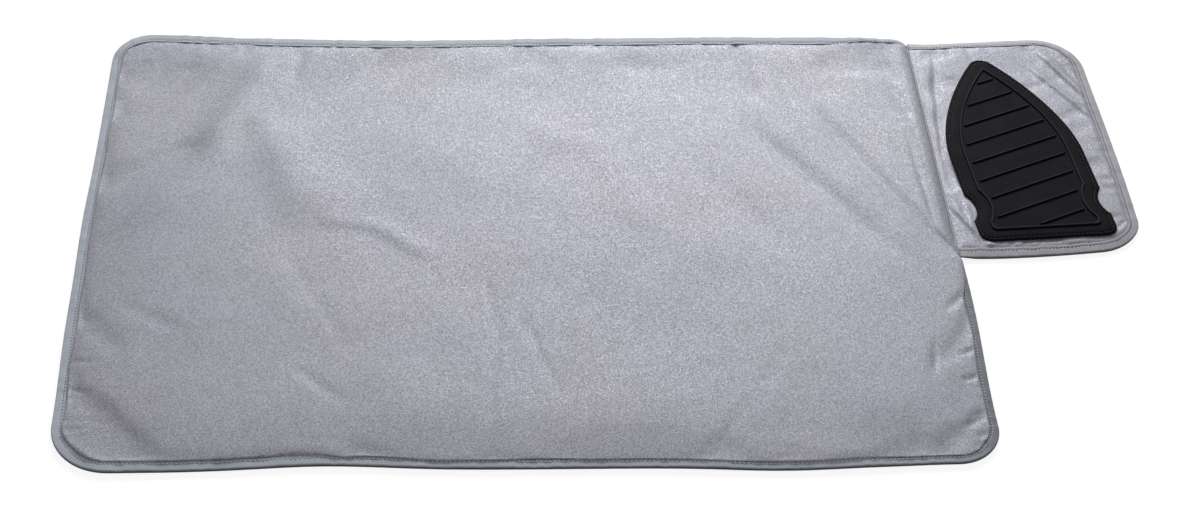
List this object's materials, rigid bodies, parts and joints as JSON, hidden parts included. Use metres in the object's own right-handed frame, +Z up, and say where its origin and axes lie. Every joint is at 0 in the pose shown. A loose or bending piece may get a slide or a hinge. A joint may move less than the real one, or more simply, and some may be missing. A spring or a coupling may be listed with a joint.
{
  "type": "ironing pad",
  "caption": "Padded table-top ironing pad with a bound edge and a hinged cloth flap that carries a ribbed silicone iron rest and folds over onto the pad.",
  "frame": {"origin": "on the table, under the middle of the whole pad with its flap laid flat", "axes": "+X along the length towards the flap, +Y to the back edge that the flap lines up with, +Z up"},
  "size_m": [0.8382, 0.5016, 0.0082],
  "materials": {
    "face_cloth": "silver-coated woven cotton with a faint glitter",
    "wadding": "lofty white fibre wadding",
    "felt": "needled grey felt",
    "backing_cloth": "plain woven grey cloth",
    "binding_tape": "smooth blue-grey folded tape",
    "band_cloth": "folded edge of the silver cloth",
    "pale_thread": "twisted pale grey sewing thread",
    "rest_silicone": "matt black silicone",
    "black_thread": "twisted black sewing thread"
  },
  "bodies": {
    "main_pad": {"main_face_cloth": "face_cloth", "main_wadding": "wadding", "main_felt": "felt", "main_backing": "backing_cloth", "main_binding": "binding_tape", "main_needle_thread": "pale_thread", "main_bobbin_thread": "pale_thread", "seam_thread": "pale_thread"},
    "fold_strip": {"fold_strip_face": "face_cloth", "fold_strip_backing": "backing_cloth"},
    "flap": {"flap_face_cloth": "face_cloth", "flap_wadding": "wadding", "flap_backing": "backing_cloth", "flap_band": "band_cloth", "flap_needle_thread": "pale_thread", "flap_bobbin_thread": "pale_thread", "iron_rest": "rest_silicone", "iron_rest_thread": "black_thread"}
  },
  "joints": [
    {"name": "strip_fold", "type": "hinge", "parent": "main_pad", "child": "fold_strip", "pos_m": [0.2667, 0.108, 0.003], "axis": [0, -1, 0], "range_deg": [0, 90]},
    {"name": "flap_fold", "type": "hinge", "parent": "fold_strip", "child": "flap", "pos_m": [0.2773, 0.108, 0.003], "axis": [0, -1, 0], "range_deg": [0, 90]}
  ],
  "couplings": [
    {"joint": "flap_fold", "follows": "strip_fold", "ratio": 1}
  ]
}
